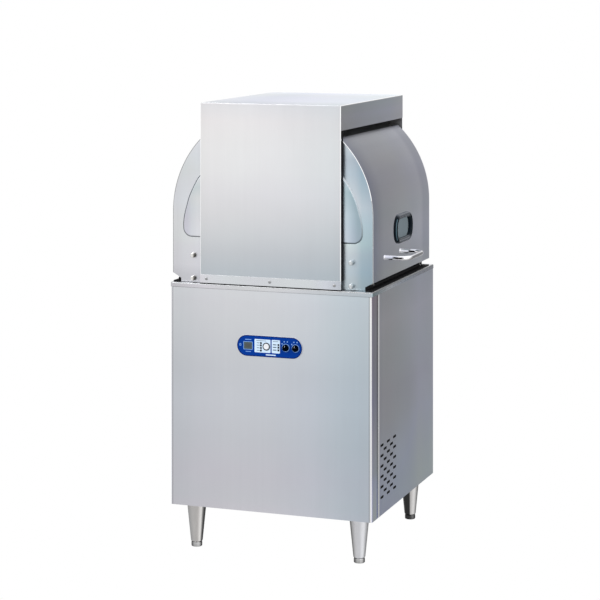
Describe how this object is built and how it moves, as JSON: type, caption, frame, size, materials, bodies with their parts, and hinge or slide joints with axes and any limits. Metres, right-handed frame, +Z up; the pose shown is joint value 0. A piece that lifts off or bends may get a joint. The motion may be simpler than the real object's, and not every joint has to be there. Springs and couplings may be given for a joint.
{
  "type": "commercial dishwasher",
  "caption": "Free-standing door-type commercial dishwasher: square steel cabinet on legs, wash chamber above with two side doors that turn up under a fixed top cover.",
  "frame": {"origin": "bottom centre of the bounding box at rest: on the floor, 36.4 mm to the right of and 9.7 mm behind the middle of the 600 mm square cabinet", "axes": "+X to the machine's right seen from the front, +Y to the rear (the operator stands at -Y), +Z up"},
  "size_m": [0.6764, 0.6458, 1.271],
  "materials": {
    "panel_steel": "fine brushed stainless sheet",
    "fascia_steel": "fine brushed stainless sheet, bright",
    "inner_steel": "dull stainless sheet",
    "bright_steel": "polished stainless edges and small parts",
    "chrome": "mirror",
    "cast_legs": "satin",
    "dark_frame": "glossy dark blue-black",
    "window_glass": "grey-green tinted",
    "panel_blue": "glossy blue",
    "display_lens": "smoked lens",
    "button_white": "satin white",
    "knob_black": "matte black",
    "cast_pump": "painted dark grey",
    "motor_paint": "blue-grey paint",
    "drain_plastic": "grey",
    "box_paint": "light grey paint",
    "spring_steel": "plain wire"
  },
  "bodies": {
    "machine": {"chassis": "inner_steel", "front_panel": "panel_steel", "side_panel_right": "panel_steel", "side_panel_left": "panel_steel", "rear_panel": "panel_steel", "deck": "bright_steel", "wash_tank": "inner_steel", "tank_strainer": "inner_steel", "drain_pipe": "drain_plastic", "leg_front_left": "cast_legs", "leg_front_right": "cast_legs", "leg_rear_left": "cast_legs", "leg_rear_right": "cast_legs", "fascia": "fascia_steel", "fascia_strip": "bright_steel", "strip_screw_left": "bright_steel", "strip_screw_centre": "bright_steel", "strip_screw_right": "bright_steel", "top_cover": "panel_steel", "tower_rear_cover": "panel_steel", "chamber_frame": "inner_steel", "pivot_pin_front": "bright_steel", "pivot_pin_rear": "bright_steel", "balance_spring_left": "spring_steel", "balance_spring_right": "spring_steel", "rack_rails": "bright_steel", "lower_hub": "bright_steel", "upper_manifold": "bright_steel", "wash_pump": "cast_pump", "pump_motor": "motor_paint", "booster_tank": "bright_steel", "electrical_box": "box_paint", "control_panel": "panel_blue", "display": "display_lens"},
    "right_door": {"door_shell_right": "panel_steel", "door_plate_front_right": "panel_steel", "door_plate_rear_right": "panel_steel", "door_stud_upper_right": "bright_steel", "door_stud_lower_right": "bright_steel", "door_handle": "chrome", "window_frame": "dark_frame", "window_pane": "window_glass"},
    "left_door": {"door_shell_left": "panel_steel", "door_plate_front_left": "panel_steel", "door_plate_rear_left": "panel_steel", "door_stud_upper_left": "bright_steel", "door_stud_lower_left": "bright_steel"},
    "overflow_pipe": {"overflow_pipe": "bright_steel"},
    "foot_front_left": {"foot_front_left": "cast_legs"},
    "foot_front_right": {"foot_front_right": "cast_legs"},
    "foot_rear_left": {"foot_rear_left": "cast_legs"},
    "foot_rear_right": {"foot_rear_right": "cast_legs"},
    "balance_crosshead": {"balance_crosshead": "inner_steel"},
    "lower_wash_arm": {"lower_wash_arm": "bright_steel"},
    "lower_rinse_arm": {"lower_rinse_arm": "bright_steel"},
    "upper_wash_arm": {"upper_wash_arm": "bright_steel"},
    "upper_rinse_arm": {"upper_rinse_arm": "bright_steel"},
    "start_button": {"start_button": "button_white"},
    "selector_knob_left": {"selector_knob_left": "knob_black"},
    "selector_knob_right": {"selector_knob_right": "knob_black"}
  },
  "joints": [
    {"name": "right_door_lift", "type": "hinge", "parent": "machine", "child": "right_door", "pos_m": [-0.03642, -0.00967, 0.9595], "axis": [0, -1, 0], "range_deg": [0, 60]},
    {"name": "left_door_lift", "type": "hinge", "parent": "machine", "child": "left_door", "pos_m": [-0.03642, -0.00967, 0.9595], "axis": [0, 1, 0], "range_deg": [0, 60]},
    {"name": "balance_travel", "type": "slide", "parent": "machine", "child": "balance_crosshead", "axis": [0, 0, -1], "range_m": [0, 0.0419], "deforming": ["balance_spring_left", "balance_spring_right"]},
    {"name": "lower_wash_spin", "type": "hinge", "parent": "machine", "child": "lower_wash_arm", "pos_m": [-0.03642, -0.00967, 0.753], "axis": [0, 0, 1], "continuous": true},
    {"name": "lower_rinse_spin", "type": "hinge", "parent": "machine", "child": "lower_rinse_arm", "pos_m": [-0.03642, -0.00967, 0.763], "axis": [0, 0, 1], "continuous": true},
    {"name": "upper_wash_spin", "type": "hinge", "parent": "machine", "child": "upper_wash_arm", "pos_m": [-0.03642, -0.00967, 1.142], "axis": [0, 0, 1], "continuous": true},
    {"name": "upper_rinse_spin", "type": "hinge", "parent": "machine", "child": "upper_rinse_arm", "pos_m": [-0.03642, -0.00967, 1.132], "axis": [0, 0, 1], "continuous": true},
    {"name": "overflow_lift", "type": "slide", "parent": "machine", "child": "overflow_pipe", "axis": [0, 0, 1], "range_m": [0, 0.16]},
    {"name": "start_press", "type": "slide", "parent": "machine", "child": "start_button", "axis": [0, 1, 0], "range_m": [0, 0.002], "stiffness_N_per_m": 800, "springref_m": -0.001},
    {"name": "selector_left_turn", "type": "hinge", "parent": "machine", "child": "selector_knob_left", "pos_m": [0.01218, -0.31967, 0.5935], "axis": [0, 1, 0], "range_deg": [-45, 45]},
    {"name": "selector_right_turn", "type": "hinge", "parent": "machine", "child": "selector_knob_right", "pos_m": [0.04108, -0.31967, 0.5935], "axis": [0, 1, 0], "range_deg": [-45, 45]},
    {"name": "foot_front_left_level", "type": "slide", "parent": "machine", "child": "foot_front_left", "axis": [0, 0, -1], "range_m": [0, 0.02]},
    {"name": "foot_front_right_level", "type": "slide", "parent": "machine", "child": "foot_front_right", "axis": [0, 0, -1], "range_m": [0, 0.02]},
    {"name": "foot_rear_left_level", "type": "slide", "parent": "machine", "child": "foot_rear_left", "axis": [0, 0, -1], "range_m": [0, 0.02]},
    {"name": "foot_rear_right_level", "type": "slide", "parent": "machine", "child": "foot_rear_right", "axis": [0, 0, -1], "range_m": [0, 0.02]}
  ],
  "couplings": [
    {"joint": "left_door_lift", "follows": "right_door_lift", "ratio": 1},
    {"joint": "balance_travel", "follows": "right_door_lift", "m_per_rad": 0.04}
  ]
}
